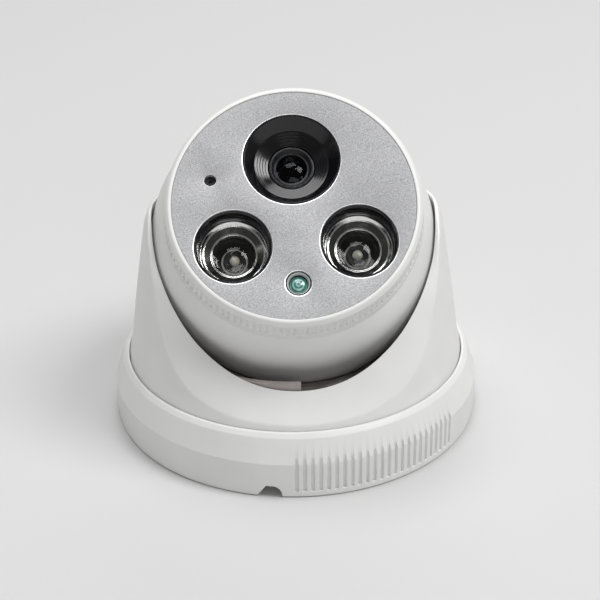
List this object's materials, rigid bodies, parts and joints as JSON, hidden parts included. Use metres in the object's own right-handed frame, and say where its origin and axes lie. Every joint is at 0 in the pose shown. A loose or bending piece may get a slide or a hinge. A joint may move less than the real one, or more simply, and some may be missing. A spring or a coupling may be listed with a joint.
{
  "type": "dome cctv camera",
  "caption": "Turret dome security camera: a white ball with lens, IR lamps and light sensor in a silver face, held in a panning cradle on a round base with a twist-lock ring.",
  "frame": {"origin": "centre of the underside, where the base meets the wall, ceiling or table", "axes": "+Z away from the mounting surface along the pan axis; the camera faces -Y, tipped 43 degrees from +Z; +X is the tilt axis"},
  "size_m": [0.118, 0.118, 0.1051],
  "materials": {
    "white_shell": "fine satin, warm white",
    "base_plastic": "satin",
    "seat_nylon": "semi-matt nylon",
    "silver_face": "fine silver sparkle paint",
    "black_plastic": "matt black",
    "black_metal": "satin black anodised",
    "lens_glass": "coated, polished",
    "lamp_lens": "clear polished",
    "reflector": "polished plating",
    "lamp_chip": "clear epoxy over a pale chip",
    "cell": "teal epoxy",
    "rubber": "matt",
    "nut_nylon": "satin nylon",
    "steel": "zinc plated",
    "cast_alloy": "die cast",
    "board_white": "white solder resist",
    "board_green": "green solder resist",
    "brass": "turned",
    "copper_coil": "enamelled wire",
    "sensor": "dark glass on ceramic",
    "connector": "ivory nylon"
  },
  "bodies": {
    "base": {"base_plate": "base_plastic", "base_gasket": "rubber", "slip_washer": "seat_nylon"},
    "ring": {"lock_ring": "white_shell"},
    "turret": {"cradle": "white_shell", "ball_seat": "seat_nylon", "seat_screws": "steel", "friction_pads": "rubber"},
    "ball": {"ball_shell": "white_shell", "rear_cap": "white_shell", "cap_screws": "steel", "cable_gland": "rubber", "gland_nut": "nut_nylon"},
    "lens": {"lens_barrel": "black_metal", "front_glass": "lens_glass", "rear_glass": "lens_glass"},
    "filter": {"filter_frame": "black_plastic", "filter_glass": "lens_glass", "clear_glass": "lens_glass"},
    "head": {"front_cover": "white_shell", "face_seal": "rubber", "face_plate": "silver_face", "lens_hood": "black_plastic", "lamp_sleeve_left": "black_plastic", "lamp_sleeve_right": "black_plastic", "reflector_left": "reflector", "reflector_right": "reflector", "lamp_lens_left": "lamp_lens", "lamp_lens_right": "lamp_lens", "lamp_chip_left": "lamp_chip", "lamp_chip_right": "lamp_chip", "light_sensor": "cell", "sensor_sleeve": "black_plastic", "microphone": "steel", "microphone_boot": "rubber", "chassis": "cast_alloy", "retaining_clip": "steel", "led_board": "board_white", "heat_sink": "cast_alloy", "board_screws": "steel", "lens_nut": "black_metal", "lens_holder": "black_plastic", "filter_coil": "copper_coil", "image_sensor": "sensor", "sensor_board": "board_green", "board_posts": "brass", "main_board": "board_green", "connectors": "connector"}
  },
  "joints": [
    {"name": "ring_twist", "type": "hinge", "parent": "base", "child": "ring", "pos_m": [0, 0, 0], "axis": [0, 0, 1], "range_deg": [0, 32]},
    {"name": "pan", "type": "hinge", "parent": "base", "child": "turret", "pos_m": [0, 0, 0], "axis": [0, 0, 1], "range_deg": [-177.5, 177.5]},
    {"name": "tilt", "type": "hinge", "parent": "turret", "child": "ball", "pos_m": [0, 0, 0.0561], "axis": [1, 0, 0], "range_deg": [-43, 32]},
    {"name": "roll", "type": "hinge", "parent": "ball", "child": "head", "pos_m": [0, 0, 0.0561], "axis": [0, -0.682, 0.7314], "range_deg": [-175, 175]},
    {"name": "lens_focus", "type": "hinge", "parent": "head", "child": "lens", "pos_m": [-0.00035, 0.01038, 0.06578], "axis": [0, -0.682, 0.7314], "range_deg": [-90, 90]},
    {"name": "filter_shift", "type": "slide", "parent": "head", "child": "filter", "axis": [-0.9997, -0.0179, -0.0167], "range_m": [0, 0.0078]}
  ]
}
